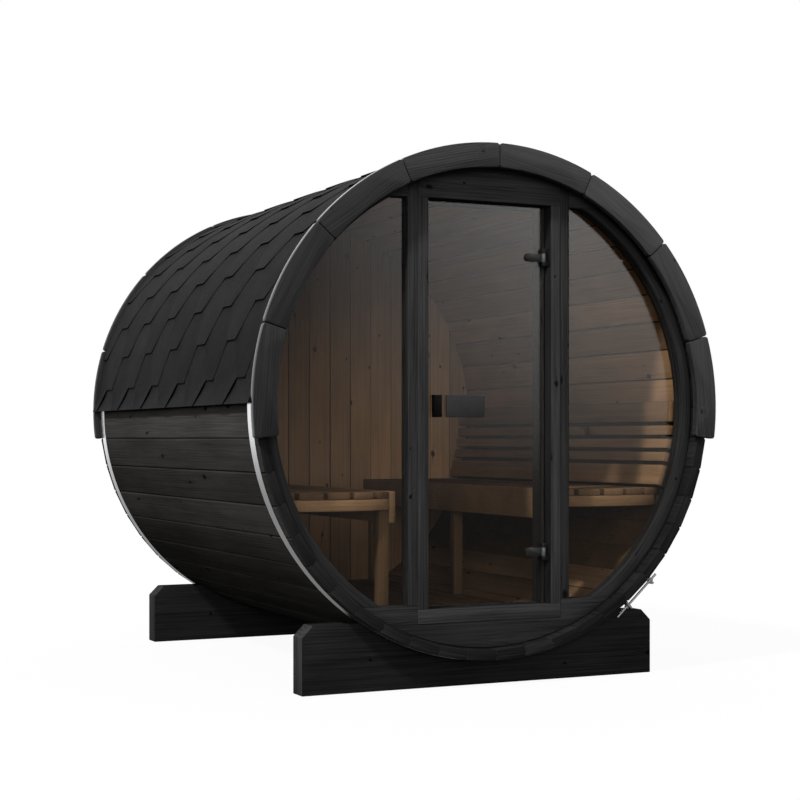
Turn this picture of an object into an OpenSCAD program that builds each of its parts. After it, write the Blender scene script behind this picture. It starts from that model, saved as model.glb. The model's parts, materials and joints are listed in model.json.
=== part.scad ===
// Barrel sauna: a cask of flat staves on two cradles, hooped with steel bands and roofed with shingles.
// The glazed front wall has a hinged glass door. Two slatted benches with backrests stand inside.
// The barrel's axis runs along Y, the front faces -Y, Z is up and the ground is at Z = 0.

/* [Barrel] */
// Radius of the barrel over the flats of the staves
barrel_r = 998; // [940:1:1100]
// Length of the staves
barrel_l = 2165; // [1800:5:3000]
// Thickness of a stave
stave_t = 42; // [36:1:48]
// Number of staves round the barrel, in six equal groups
stave_n = 48; // [36:6:60]
// Chamfer on the outer edges of a stave
stave_chamfer = 5; // [2:0.5:8]
// Radius of the bead along one edge of a stave, which lies in the cove of the next stave
bead_r = 11; // [8:0.5:12]
// How far the bead stands out of the stave's edge
bead_h = 5; // [3:0.5:7]
// Clearance between bead and cove
bead_fit = 0.5; // [0.3:0.1:1]
// Depth of the groove in the staves that holds the end walls
croze_d = 8; // [5:1:9]
// Joint between neighbouring staves or boards
board_joint = 0.4; // [0.2:0.1:0.8]
// Fitting clearance where a piece seats on another
fit = 0.3; // [0.1:0.1:0.6]

/* [Cradles] */
// Length of a cradle board across the barrel
cradle_w = 1563; // [1300:1:1700]
// Thickness of a cradle board
cradle_t = 90; // [60:1:120]
// Height of a cradle board
cradle_h = 264; // [220:1:300]
// Wood left under the barrel in the middle of a cradle
cradle_web = 103; // [80:1:140]
// Chamfer on the top corners of a cradle
cradle_chamfer = 44; // [20:1:60]
// Distance from the stave ends to a cradle
cradle_inset = 97; // [95:1:200]

/* [Roof and fascia] */
// Number of shingle courses on each side of the ridge
roof_courses = 11; // [8:1:14]
// Thickness of a course at its lower edge
course_butt = 7; // [5:0.5:10]
// Thickness of a course at its upper edge
course_top = 4; // [2:0.5:5]
// How far the lowest course bends out at the eave
eave_kick = 22; // [5:1:30]
// Height of the bent strip over the eave
eave_h = 80; // [40:1:100]
// Number of boards in a fascia arch
fascia_n = 8; // [6:2:12]
// How far the fascia stands out over the staves
fascia_lip = 25; // [18:1:40]
// How far the fascia reaches inside the staves
fascia_reveal = 29; // [15:1:40]
// Thickness of the fascia boards
fascia_t = 30; // [20:1:40]
// Radius of the rounded corners of a fascia board
fascia_round = 12; // [4:0.5:16]
// Gap between fascia boards
fascia_gap = 3; // [1:0.5:6]

/* [Steel bands] */
// Width of a band
band_w = 52; // [30:1:54]
// Thickness of a band
band_t = 1.5; // [0.8:0.1:3]
// Distance from the stave ends to a band
band_inset = 39; // [20:1:40]
// Angle of the tensioner below the horizontal
tensioner_a = 47.5; // [35:0.5:55]
// Distance between the two lugs of a tensioner
lug_span = 136; // [90:1:160]
// Height of a lug above the band
lug_h = 54; // [48:1:64]
// Thickness of a lug
lug_t = 8; // [5:0.5:12]
// Width of a lug
lug_w = 30; // [20:1:30]
// Diameter of the tensioning rod
rod_d = 10; // [6:0.5:12]
// Distance from the band to the middle of the tensioning rod
rod_stand = 40; // [20:1:40]
// How far the tensioning rod stands out of the upper lug
rod_head = 36; // [20:1:50]
// How far the tensioning rod stands out of the lower lug
rod_tail = 66; // [20:1:80]
// Width of a nut across its corners
nut_d = 20; // [18:0.5:24]
// Thickness of a nut
nut_t = 8; // [6:0.5:12]

/* [Front wall] */
// Distance from the stave ends to the front wall, and at the back to the back wall
wall_inset = 50; // [45:1:70]
// Thickness of the front wall
wall_t = 62; // [60:1:70]
// Width of the ring round the windows
ring_w = 48; // [30:1:60]
// Depth of the shadow gap round the wall's edge
shadow_d = 8; // [4:1:12]
// Width of the shadow gap round the wall's edge
shadow_w = 5; // [3:0.5:8]
// Width of the mullions between door frame and windows
mullion_w = 42; // [30:1:60]
// Distance from the barrel's crown to the top of the windows
window_drop = 155; // [135:1:180]
// Height of the windows' lower edge over the barrel's lowest inside
window_rise = 181; // [178:1:220]
// Thickness of the window panes
pane_t = 8; // [5:0.5:10]
// Distance from the wall's face to a window pane
pane_inset = 27; // [22:1:32]
// How far a pane sits in its groove
pane_bite = 12; // [6:1:15]

/* [Door] */
// Width of the doorway between the jambs
doorway_w = 547; // [500:1:600]
// Width of a jamb
jamb_w = 45; // [35:1:60]
// Depth of the door frame
frame_d = 125; // [110:1:150]
// How far the door frame stands out of the wall
frame_proud = 3; // [1:0.5:5]
// Distance from the barrel's crown to the door head
head_drop = 152; // [130:1:180]
// Height of the sill's top over the barrel's lowest inside
sill_rise = 164; // [160:1:175]
// Height of the door sill
sill_h = 55; // [40:1:60]
// Width of the stop behind the door
stop_w = 14; // [12:0.5:20]
// Gap between door and stop
stop_gap = 7; // [6:0.5:10]
// Gap round the door
door_gap = 7; // [6:0.5:9]
// Thickness of the door glass
door_t = 8; // [6:0.5:10]
// Distance from the wall's face to the door glass
door_inset = 40; // [36:1:45]

/* [Hinges and handle] */
// Distance of the hinges from the door's top and bottom
hinge_inset = 200; // [120:1:300]
// Height of a hinge bracket
hinge_h = 70; // [60:1:90]
// Height of a hinge clip
clip_h = 33; // [24:1:40]
// Length of a hinge clip on the glass, from the hinge axis
clip_l = 80; // [60:1:110]
// Thickness of a hinge clip
clip_t = 6; // [4:0.5:8]
// Radius of a hinge knuckle
knuckle_r = 9; // [7:0.5:10]
// Radius of a hinge pin
pin_r = 4; // [3:0.5:5]
// Running clearance round a hinge pin
pin_clear = 0.06; // [0.03:0.01:0.09]
// Distance from the jamb to the hinge axis
hinge_out = 15.5; // [14:0.5:18]
// Distance from the glass to the hinge axis
hinge_fore = 13; // [13:0.5:16]
// Thickness of a hinge plate
plate_t = 4; // [2:0.5:5]
// Width of a hinge plate
plate_w = 32; // [24:1:34]
// Height of the handle
handle_h = 87; // [60:1:120]
// Length of the latch block
latch_l = 38; // [30:1:60]
// Length of the pull plate
pull_l = 167; // [120:1:220]
// Gap between latch block and pull plate
pull_gap = 24; // [6:1:30]
// Thickness of the latch block
latch_t = 18; // [12:1:26]
// Thickness of the pull plate
pull_t = 14; // [8:1:26]
// Distance from the door's edge to the latch block
latch_inset = 27; // [5:1:40]
// Height of the handle's middle below the barrel's axis
handle_drop = 3; // [-100:1:100]

/* [Back wall and floor] */
// Thickness of the back wall
back_t = 42; // [28:1:60]
// Number of boards in the back wall
back_boards = 17; // [11:2:23]
// Height of the floor over the barrel's lowest inside
floor_rise = 106; // [95:1:108]
// Thickness of the floor boards
floor_t = 27; // [20:1:34]
// Number of floor boards
floor_boards_n = 9; // [7:2:11]
// Gap between floor boards
floor_gap = 8; // [4:1:12]
// Height of the floor joists
joist_h = 40; // [25:1:45]
// Width of the floor joists
joist_w = 45; // [30:1:70]
// Number of floor joists
joist_n = 4; // [3:1:6]

/* [Benches] */
// Height of the bench over the floor
bench_h = 513; // [440:1:540]
// Width of the aisle between the benches
aisle_w = 704; // [660:1:740]
// Thickness of the aisle board
aisle_t = 28; // [20:1:35]
// Height of the aisle board
aisle_h = 125; // [90:1:150]
// Thickness of the bench slats
slat_t = 28; // [20:1:35]
// Number of bench slats on each side
slat_n = 5; // [4:1:7]
// Gap between bench slats
slat_gap = 16; // [8:1:24]
// Height of the bowed rim and the bearers
rim_h = 45; // [30:1:60]
// Thickness of the bowed rim
rim_t = 28; // [20:1:40]
// Radius of the bow at the bench's front end
bow_r = 478; // [420:1:800]
// Distance from the front wall's back face to the bow
bow_gap = 8; // [5:1:60]
// Width of the bench legs and bearers
leg_w = 45; // [35:1:60]

/* [Backrests] */
// Thickness of the backrest slats
rest_t = 27; // [18:1:35]
// Thickness of the curved backrest supports
support_t = 25; // [18:1:40]
// Width of the curved backrest supports
support_w = 45; // [30:1:70]
// Height of a wide backrest slat
wide_slat = 90; // [60:1:95]
// Height of a narrow backrest slat
narrow_slat = 42; // [30:1:45]
// Gap between backrest slats
rest_gap = 16; // [8:1:18]
// Height of the backrest's foot over the bench
rest_lift = 4.5; // [3:0.5:40]
// Distance from the front wall's back face to the backrest
rest_front = 28; // [10:1:100]

/* [Hidden] */
$fn = 180;

stave_pitch = 360 / stave_n;
stave_in = barrel_r - stave_t;
group_n = stave_n / 6;
stave_tip_r = norm([barrel_r, stave_half(barrel_r) - stave_chamfer]);
liner_r = stave_in - fit;
croze_r = stave_in + croze_d;
wall_r = croze_r - fit;
bead_x = (croze_r + barrel_r - stave_chamfer) / 2;
seat_r = stave_tip_r + fit;
axis_z = cradle_web + seat_r;

front_y = -barrel_l / 2;
wall_y = front_y + wall_inset;
wall_back_y = wall_y + wall_t;
pane_y = wall_y + pane_inset;
frame_y = wall_y - frame_proud;
frame_back_y = wall_y + frame_d;
door_y = wall_y + door_inset;
stop_y = door_y + door_t + stop_gap;
back_y = barrel_l / 2 - wall_inset;
cabin_back_y = back_y - back_t;

band_in = stave_tip_r + fit;
band_out = band_in + band_t;
rod_x = band_out + rod_stand;
roof_in = band_out + fit;
course_a = 90 / roof_courses;

fascia_in = stave_in - fascia_reveal;
fascia_out = barrel_r + fascia_lip;
fascia_a = (180 + 2 * stave_pitch) / fascia_n;

ring_in = liner_r - ring_w;
jamb_x = doorway_w / 2;
frame_x = jamb_x + jamb_w;
mullion_x = frame_x + mullion_w;
head_z = stave_in - head_drop;
window_top = stave_in - window_drop;
window_bottom = window_rise - stave_in;
sill_top = sill_rise - stave_in;
sill_bottom = sill_top - sill_h;

door_x = jamb_x - door_gap;
door_top = head_z - door_gap;
door_bottom = sill_top + door_gap;
hinge_x = jamb_x - hinge_out;
hinge_y = door_y - hinge_fore;
hinge_zs = [door_top - hinge_inset, door_bottom + hinge_inset];

floor_top = floor_rise - stave_in;
floor_front_y = frame_back_y + fit;
floor_pitch = 2 * chord(liner_r, floor_top) / floor_boards_n;

bench_top = floor_top + bench_h;
slat_bottom = bench_top - slat_t;
rim_bottom = slat_bottom - rim_h;
aisle_x = aisle_w / 2;
slats_x = aisle_x + aisle_t + fit;
bench_wall_x = chord(liner_r, slat_bottom) - fit;
bearer_wall_x = chord(liner_r, rim_bottom) - fit;
slat_pitch = (bench_wall_x - aisle_x + slat_gap) / slat_n;
bow_x = (aisle_x + bench_wall_x) / 2;
bow_y = wall_back_y + bow_gap + bow_r;
aisle_front_y = bow_y - sqrt(pow(bow_r, 2) - pow(bow_x - slats_x, 2));
bench_back_y = cabin_back_y - fit;
leg_ys = [aisle_front_y + fit, (aisle_front_y + bench_back_y - leg_w) / 2, bench_back_y - leg_w];

support_in = liner_r - support_t;
rest_out = support_in - fit;
rest_in = rest_out - rest_t;
rest_slats = [wide_slat, narrow_slat, narrow_slat, narrow_slat, wide_slat];
rest_foot = bench_top + rest_lift;
rest_front_y = wall_back_y + rest_front;
support_ys = [rest_front_y + support_w, -support_w / 2, bench_back_y - 2 * support_w];

black_wood = "#2b2b2c";
brown_wood = "#7a5230";
shingle_grey = "#303134";
steel = "#c9cbcc";
black_metal = "#1c1c1d";
tinted_glass = [0.25, 0.21, 0.18, 0.5];

// Half the width of a stave at a distance from the barrel's axis
function stave_half(r) = r * tan(stave_pitch / 2) - board_joint / 2;

// Half the width of a circle at a height from its centre
function chord(r, z) = sqrt(pow(r, 2) - pow(z, 2));

// Angle that an arc length takes at a radius
function arc_angle(length, r) = length / r * 180 / PI;

// Sum of the first n values of a list
function sum_to(list, n) = n <= 0 ? 0 : list[n - 1] + sum_to(list, n - 1);

// A point beside a radial line: s along the line, d off it towards the given side
function beside(a, side, s, d) = [s * cos(a) - side * d * sin(a), s * sin(a) + side * d * cos(a)];

// Extrudes an outline, drawn about the barrel's axis as X and Z, from y0 to y1
module along(y0, y1) {
  translate([0, y1, axis_z])
    rotate([90, 0, 0])
      linear_extrude(y1 - y0)
        children();
}

// Extrudes a plan outline from z0 to z1, both measured from the barrel's axis
module upright(z0, z1) {
  translate([0, 0, axis_z + z0])
    linear_extrude(z1 - z0)
      children();
}

// Box between two corners, with heights measured from the barrel's axis
module box(low, high) {
  translate(low + [0, 0, axis_z])
    cube(high - low);
}

// Turns children so that X points out from the barrel's axis at angle a
module round_barrel(a) {
  translate([0, 0, axis_z])
    rotate([0, -a, 0])
      children();
}

// Draws children on the right (+1) or mirrors them to the left (-1)
module on_side(side) {
  mirror([side > 0 ? 0 : 1, 0, 0])
    children();
}

// Rectangle between two corners
module area(low, high) {
  translate(low)
    square(high - low);
}

// Part of a ring between two radii and two angles
module ring_sector(r0, r1, a0, a1) {
  reach = 2 * r1;
  middle = (a0 + a1) / 2;
  intersection() {
    difference() {
      circle(r1);
      circle(r0);
    }
    polygon([[0, 0], for (a = [a0, middle, a1]) reach * [cos(a), sin(a)]]);
  }
}

// Round of the joint between two staves, about the joint's line along X
module joint_round(r) {
  translate([bead_x, bead_h - bead_r - board_joint / 2])
    circle(r);
}

// Section of one stave, its middle on the X axis, with a bead on one edge and a cove on the other
module stave_section() {
  shoulder_r = barrel_r - stave_chamfer;
  half = [
    [stave_in, stave_half(stave_in)],
    [shoulder_r, stave_half(shoulder_r)],
    [barrel_r, stave_half(barrel_r) - stave_chamfer]
  ];
  difference() {
    union() {
      polygon([
        for (p = half) p,
        for (i = [len(half) - 1:-1:0]) [half[i][0], -half[i][1]]
      ]);
      rotate(stave_pitch / 2)
        joint_round(bead_r);
    }
    rotate(-stave_pitch / 2)
      joint_round(bead_r + bead_fit);
  }
}

// One stave at an angle round the barrel, grooved for the front and the back wall
module stave(a) {
  difference() {
    along(front_y, -front_y)
      rotate(a)
        stave_section();
    for (groove = [[wall_y + shadow_d, wall_back_y], [cabin_back_y, back_y]])
      along(groove[0] - fit, groove[1] + fit)
        rotate(a)
          translate([0, -stave_in / 2])
            square([croze_r, stave_in]);
  }
}

// One of the six groups of staves, counted anticlockwise from the right
module stave_group(group) {
  color(black_wood)
    for (i = [0:group_n - 1])
      stave((group * group_n + i + 0.5) * stave_pitch);
}

// Shingle courses from eave to ridge on one side, each thicker at its lower edge
module roof_side(side) {
  half = roof_in * tan(course_a / 2) - board_joint / 2;
  color(shingle_grey)
    on_side(side)
      along(front_y + fit, -front_y - fit)
        for (i = [0:roof_courses - 1])
          rotate((i + 0.5) * course_a)
            if (i == 0)
              eave_section(half);
            else
              course_section(half);
}

// Section of a shingle course, its middle on the X axis
module course_section(half) {
  polygon([
    [roof_in, -half],
    [roof_in + course_butt, -half],
    [roof_in + course_top, half],
    [roof_in, half]
  ]);
}

// Section of the lowest course, with a strip that bends out over the eave
module eave_section(half) {
  bend = eave_h - half;
  polygon([
    [roof_in + eave_kick, -half],
    [roof_in + eave_kick + course_butt, -half],
    [roof_in + course_butt, bend],
    [roof_in + course_top, half],
    [roof_in, half],
    [roof_in, bend]
  ]);
}

// One fascia board between two angles, with rounded corners
module fascia_board(a0, a1) {
  inset = fascia_gap / 2;
  difference() {
    intersection() {
      difference() {
        circle(fascia_out);
        circle(fascia_in);
      }
      polygon([
        for (s = [fascia_in / 2, 2 * fascia_out]) beside(a0, 1, s, inset),
        for (s = [2 * fascia_out, fascia_in / 2]) beside(a1, -1, s, inset)
      ]);
    }
    for (end = [[a0, 1], [a1, -1]]) {
      fascia_corner(end[0], end[1], fascia_out, 1);
      fascia_corner(end[0], end[1], fascia_in, -1);
    }
  }
}

// What the round takes off a fascia board's corner, at its outer arc (out = 1) or its inner arc (-1)
module fascia_corner(a, side, arc_r, out) {
  off = fascia_gap / 2 + fascia_round;
  centre = beside(a, side, chord(arc_r - out * fascia_round, off), off);
  to_side = 2 * beside(a, side, 0, -fascia_round);
  to_arc = 2 * out * fascia_round / norm(centre) * centre;
  difference() {
    polygon([centre, centre + to_side, centre + to_side + to_arc, centre + to_arc]);
    translate(centre)
      circle(fascia_round);
  }
}

// Half of a fascia arch, from the crown down one side
module fascia_half(side, y) {
  color(black_wood)
    on_side(side)
      along(y, y + fascia_t)
        for (i = [0:fascia_n / 2 - 1])
          fascia_board(90 - (i + 1) * fascia_a, 90 - i * fascia_a);
}

// Steel hoop with two lugs, drawn together by a rod with nuts
module band(y) {
  middle_y = y + band_w / 2;
  half_gap = arc_angle(lug_span / 2, band_in);
  lug_x = chord(band_in, lug_span / 2 + lug_t);
  color(steel) {
    difference() {
      union() {
        along(y, y + band_w)
          difference() {
            circle(band_out);
            circle(band_in);
            ring_sector(band_in / 2, 2 * band_in, -tensioner_a - half_gap, -tensioner_a + half_gap);
          }
        round_barrel(-tensioner_a)
          for (z = [-lug_span / 2 - lug_t, lug_span / 2])
            translate([lug_x, middle_y - lug_w / 2, z])
              cube([band_out + lug_h - lug_x, lug_w, lug_t]);
      }
      along(y - fit, y + band_w + fit)
        circle(band_in);
      tension_rod(middle_y, rod_d + 2 * fit);
    }
    tension_rod(middle_y, rod_d);
    round_barrel(-tensioner_a)
      for (z = [-lug_span / 2 - lug_t - fit - nut_t, lug_span / 2 + lug_t + fit])
        translate([rod_x, middle_y, z])
          cylinder(d = nut_d, h = nut_t, $fn = 6);
  }
}

// Straight rod of a tensioner
module tension_rod(y, d) {
  low = -lug_span / 2 - lug_t - rod_tail;
  high = lug_span / 2 + lug_t + rod_head;
  round_barrel(-tensioner_a)
    translate([rod_x, y, low])
      cylinder(d = d, h = high - low);
}

// Cradle board with a seat that follows the barrel
module cradle(y) {
  half = cradle_w / 2;
  color(black_wood)
    along(y, y + cradle_t)
      difference() {
        translate([0, -axis_z])
          polygon([
            [-half, 0],
            [half, 0],
            [half, cradle_h - cradle_chamfer],
            [half - cradle_chamfer, cradle_h],
            [cradle_chamfer - half, cradle_h],
            [-half, cradle_h - cradle_chamfer]
          ]);
        circle(seat_r);
      }
}

// Outline of a window pane on the right, its edges grown into the groove by a distance
module pane_outline(grow) {
  intersection() {
    circle(ring_in + grow);
    area([mullion_x - grow, window_bottom - grow], [liner_r, window_top + grow]);
  }
}

// Piece of the front wall on the right: children are its outline, grooved for the pane and edged by the shadow gap
module wall_piece() {
  color(black_wood)
    difference() {
      along(wall_y, wall_back_y)
        intersection() {
          circle(wall_r);
          children();
        }
      along(pane_y - fit, pane_y + pane_t + fit)
        pane_outline(pane_bite + fit);
      shadow_gap(wall_y);
    }
}

// Step cut from the edge of the wall's front, from its face at y back to the shadow gap's depth
module shadow_gap(y) {
  along(y - fit, wall_y + shadow_d)
    difference() {
      circle(2 * liner_r);
      circle(liner_r - shadow_w);
    }
}

// Ring beside a window
module ring_side(side) {
  on_side(side)
    wall_piece()
      difference() {
        area([0, window_bottom + board_joint], [wall_r, window_top - board_joint]);
        circle(ring_in);
      }
}

// Post between door frame and window
module mullion(side) {
  on_side(side)
    wall_piece()
      area([frame_x, window_bottom + board_joint], [mullion_x, wall_r]);
}

// Board over the door with the two corner pieces over the windows
module header() {
  stop_x = jamb_x - stop_w - fit;
  color(black_wood)
    difference() {
      along(frame_y, wall_back_y)
        intersection() {
          circle(wall_r);
          area([board_joint - frame_x, head_z], [frame_x - board_joint, wall_r]);
        }
      shadow_gap(frame_y);
    }
  color(black_wood)
    along(wall_back_y, frame_back_y)
      area([-stop_x, head_z - stop_w], [stop_x, head_z + stop_w]);
  for (side = [-1, 1])
    on_side(side)
      wall_piece()
        area([mullion_x + board_joint, window_top], [wall_r, wall_r]);
}

// Segment of wall under the door and the windows
module wall_foot() {
  for (side = [-1, 1])
    on_side(side)
      wall_piece()
        difference() {
          area([-fit, -wall_r], [wall_r, window_bottom]);
          area([-2 * fit, sill_bottom], [frame_x + fit, window_bottom + fit]);
        }
}

// Window pane seated in the wall's groove
module window(side) {
  color(tinted_glass)
    on_side(side)
      along(pane_y, pane_y + pane_t)
        pane_outline(pane_bite);
}

// Side post of the door frame, with the stop that the door closes against
module jamb(side) {
  color(black_wood)
    on_side(side)
      upright(sill_top, head_z - fit)
        difference() {
          area([jamb_x - stop_w, frame_y], [frame_x - fit, frame_back_y]);
          area([0, frame_y - fit], [jamb_x, stop_y]);
        }
}

// Lower rail of the door frame
module door_sill() {
  color(black_wood)
    box([-frame_x + fit, frame_y, sill_bottom + fit], [frame_x - fit, frame_back_y, sill_top - fit]);
}

// Plates on the jamb, each with two eyes and the pin between them
module hinge_brackets() {
  eye_h = (hinge_h - clip_h) / 2 - fit;
  color(black_metal)
    for (z = hinge_zs) {
      box([jamb_x - fit - plate_t, door_y - clip_t - plate_w, z - hinge_h / 2],
          [jamb_x - fit, door_y - clip_t, z + hinge_h / 2]);
      for (low = [z - hinge_h / 2, z + hinge_h / 2 - eye_h])
        upright(low, low + eye_h) {
          translate([hinge_x, hinge_y])
            circle(knuckle_r);
          area([hinge_x, hinge_y - knuckle_r], [jamb_x - fit - plate_t, hinge_y + knuckle_r]);
        }
      upright(z - hinge_h / 2, z + hinge_h / 2)
        translate([hinge_x, hinge_y])
          circle(pin_r);
    }
}

// Glass door leaf
module door_glass() {
  color(tinted_glass)
    box([-door_x, door_y, door_bottom], [door_x, door_y + door_t, door_top]);
}

// Outline of a hinge clip on the glass, drawn as X and Z about its own middle
module clip_outline(right) {
  tip = hinge_x - clip_l + clip_h / 2;
  translate([tip, 0])
    circle(d = clip_h);
  area([tip, -clip_h / 2], [right, clip_h / 2]);
}

// Clips that hold the glass from both sides and turn on the hinge pins
module door_hinges() {
  back_right = jamb_x - stop_w - door_gap;
  back_y0 = door_y + door_t + fit;
  color(black_metal)
    for (z = hinge_zs) {
      difference() {
        union() {
          along(door_y - fit - clip_t, door_y - fit)
            translate([0, z])
              clip_outline(hinge_x);
          upright(z - clip_h / 2, z + clip_h / 2)
            translate([hinge_x, hinge_y])
              circle(knuckle_r);
        }
        upright(z - hinge_h, z + hinge_h)
          translate([hinge_x, hinge_y])
            circle(pin_r + pin_clear);
      }
      along(back_y0, back_y0 + clip_t)
        translate([0, z])
          clip_outline(back_right);
    }
}

// Latch block and pull plate on the outside of the glass
module door_handle() {
  latch_x = latch_inset - door_x;
  pull_x = latch_x + latch_l + pull_gap;
  low = -handle_drop - handle_h / 2;
  front = door_y - fit;
  color(black_metal) {
    box([latch_x, front - latch_t, low], [latch_x + latch_l, front, low + handle_h]);
    box([pull_x, front - pull_t, low], [pull_x + pull_l, front, low + handle_h]);
  }
}

// Upright boards of the back wall, from one board number up to another
module back_wall(first, last) {
  pitch = 2 * wall_r / back_boards;
  color(brown_wood)
    along(cabin_back_y, back_y)
      for (i = [first:last])
        intersection() {
          circle(wall_r);
          area([i * pitch - wall_r + board_joint / 2, -wall_r],
               [(i + 1) * pitch - wall_r - board_joint / 2, wall_r]);
        }
}

// Floor boards along the barrel
module floor_boards() {
  color(brown_wood)
    along(floor_front_y, cabin_back_y - fit)
      for (i = [0:floor_boards_n - 1])
        intersection() {
          circle(liner_r);
          translate([(i - (floor_boards_n - 1) / 2) * floor_pitch, floor_top - floor_t / 2])
            square([floor_pitch - floor_gap, floor_t], center = true);
        }
}

// Joists across the barrel under the floor boards
module floor_joists() {
  top = floor_top - floor_t - fit;
  step = (cabin_back_y - fit - floor_front_y - joist_w) / (joist_n - 1);
  color(brown_wood)
    for (i = [0:joist_n - 1])
      along(floor_front_y + i * step, floor_front_y + i * step + joist_w)
        intersection() {
          circle(liner_r);
          area([-liner_r, top - joist_h], [liner_r, top]);
        }
}

// Plan of everything that lies behind the bow at the bench's front end
module bow_cut() {
  difference() {
    area([0, front_y], [liner_r, bow_y]);
    translate([bow_x, bow_y])
      circle(bow_r);
  }
}

// Slats of one bench, their front ends cut to the bow
module bench_slats(side) {
  color(brown_wood)
    on_side(side)
      upright(slat_bottom, bench_top)
        difference() {
          for (i = [0:slat_n - 1])
            area([max(slats_x, aisle_x + i * slat_pitch), front_y],
                 [aisle_x + (i + 1) * slat_pitch - slat_gap, bench_back_y]);
          bow_cut();
        }
}

// Bowed rim, bearers and aisle board of one bench
module bench_frame(side) {
  color(brown_wood)
    on_side(side) {
      upright(rim_bottom, slat_bottom - fit) {
        difference() {
          area([slats_x, front_y], [bearer_wall_x, bow_y]);
          bow_cut();
          translate([bow_x, bow_y])
            circle(bow_r - rim_t);
          area([slats_x - fit, aisle_front_y + 2 * rim_t], [liner_r, bow_y + fit]);
        }
        for (y = [leg_ys[1], leg_ys[2]])
          area([slats_x, y], [bearer_wall_x, y + leg_w]);
      }
      box([aisle_x, aisle_front_y, bench_top - aisle_h], [aisle_x + aisle_t, bench_back_y, bench_top]);
    }
}

// Legs of both benches
module bench_legs() {
  color(brown_wood)
    for (side = [-1, 1])
      on_side(side)
        for (y = leg_ys)
          box([slats_x, y, floor_top + fit], [slats_x + leg_w, y + leg_w, rim_bottom - fit]);
}

// Angle of the lower edge of a backrest slat
function rest_angle(i) =
  asin(rest_foot / rest_out) + arc_angle(sum_to(rest_slats, i) + i * rest_gap, rest_out);

// Slats of one backrest, laid along the curve of the staves
module backrest(side) {
  color(brown_wood)
    on_side(side)
      along(rest_front_y, bench_back_y)
        for (i = [0:len(rest_slats) - 1])
          ring_sector(rest_in, rest_out, rest_angle(i), rest_angle(i) + arc_angle(rest_slats[i], rest_out));
}

// Curved uprights between the backrest slats and the staves
module backrest_supports() {
  top_a = rest_angle(len(rest_slats)) - arc_angle(rest_gap, rest_out);
  color(brown_wood)
    for (side = [-1, 1])
      on_side(side)
        for (y = support_ys)
          along(y, y + support_w)
            ring_sector(support_in, liner_r, asin(rest_foot / liner_r), top_a);
}

stave_group(0);  // staves_right_upper
stave_group(1);  // staves_top
stave_group(2);  // staves_left_upper
stave_group(3);  // staves_left_lower
stave_group(4);  // staves_bottom
stave_group(5);  // staves_right_lower
roof_side(1);  // roof_right
roof_side(-1);  // roof_left
fascia_half(1, front_y - fascia_t);  // fascia_front_right
fascia_half(-1, front_y - fascia_t);  // fascia_front_left
fascia_half(1, -front_y);  // fascia_back_right
fascia_half(-1, -front_y);  // fascia_back_left
band(front_y + band_inset);  // band_front
band(-front_y - band_inset - band_w);  // band_back
cradle(front_y + cradle_inset);  // cradle_front
cradle(-front_y - cradle_inset - cradle_t);  // cradle_back
ring_side(-1);  // ring_left
ring_side(1);  // ring_right
mullion(-1);  // mullion_left
mullion(1);  // mullion_right
header();
wall_foot();
window(-1);  // window_left
window(1);  // window_right
jamb(-1);  // jamb_left
jamb(1);  // jamb_right
door_sill();
hinge_brackets();
door_glass();
door_hinges();
door_handle();
back_wall(0, (back_boards - 5) / 2 - 1);  // back_wall_left
back_wall((back_boards - 5) / 2, (back_boards + 5) / 2 - 1);  // back_wall_centre
back_wall((back_boards + 5) / 2, back_boards - 1);  // back_wall_right
floor_boards();
floor_joists();
bench_slats(-1);  // bench_slats_left
bench_slats(1);  // bench_slats_right
bench_frame(-1);  // bench_frame_left
bench_frame(1);  // bench_frame_right
bench_legs();
backrest(-1);  // backrest_left
backrest(1);  // backrest_right
backrest_supports();
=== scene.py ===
"""Barrel sauna: dresses the CAD pieces in stained wood, shingles, steel and glass, and lights them in a studio."""
import json
import math
import random

import bmesh
import bpy
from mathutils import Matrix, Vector

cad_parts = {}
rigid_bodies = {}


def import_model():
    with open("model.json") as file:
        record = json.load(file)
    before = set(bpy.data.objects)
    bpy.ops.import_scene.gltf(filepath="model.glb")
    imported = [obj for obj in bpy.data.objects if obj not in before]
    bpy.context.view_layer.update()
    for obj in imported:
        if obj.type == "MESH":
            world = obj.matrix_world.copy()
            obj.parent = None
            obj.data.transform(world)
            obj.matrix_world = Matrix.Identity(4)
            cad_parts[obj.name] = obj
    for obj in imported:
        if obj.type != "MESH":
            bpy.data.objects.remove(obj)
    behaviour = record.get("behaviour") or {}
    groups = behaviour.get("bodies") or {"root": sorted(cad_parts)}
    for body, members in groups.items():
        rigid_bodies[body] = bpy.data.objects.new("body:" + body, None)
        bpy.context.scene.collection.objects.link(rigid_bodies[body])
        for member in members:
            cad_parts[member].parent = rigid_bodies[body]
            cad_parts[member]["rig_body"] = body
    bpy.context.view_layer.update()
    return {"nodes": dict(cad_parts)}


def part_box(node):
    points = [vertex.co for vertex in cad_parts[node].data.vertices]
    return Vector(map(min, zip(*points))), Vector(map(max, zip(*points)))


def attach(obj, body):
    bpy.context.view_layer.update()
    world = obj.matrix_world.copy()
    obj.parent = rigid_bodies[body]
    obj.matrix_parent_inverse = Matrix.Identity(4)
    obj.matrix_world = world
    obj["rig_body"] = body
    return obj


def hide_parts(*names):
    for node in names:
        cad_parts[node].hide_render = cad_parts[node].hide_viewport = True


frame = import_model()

# Places that the frame gives, in metres
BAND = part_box("band_back")
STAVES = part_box("staves_top")
BACK_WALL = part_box("back_wall_centre")
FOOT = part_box("wall_foot")
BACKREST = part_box("backrest_left")
BARREL_R = BAND[1].x
AXIS_Z = BAND[1].z - BARREL_R
FRONT_Y = STAVES[0].y
BACK_Y = STAVES[1].y
ROOM_FRONT = FOOT[1].y - 0.002
ROOM_BACK = BACK_WALL[0].y + 0.002
ROOF_IN = BARREL_R + 0.0003
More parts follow.
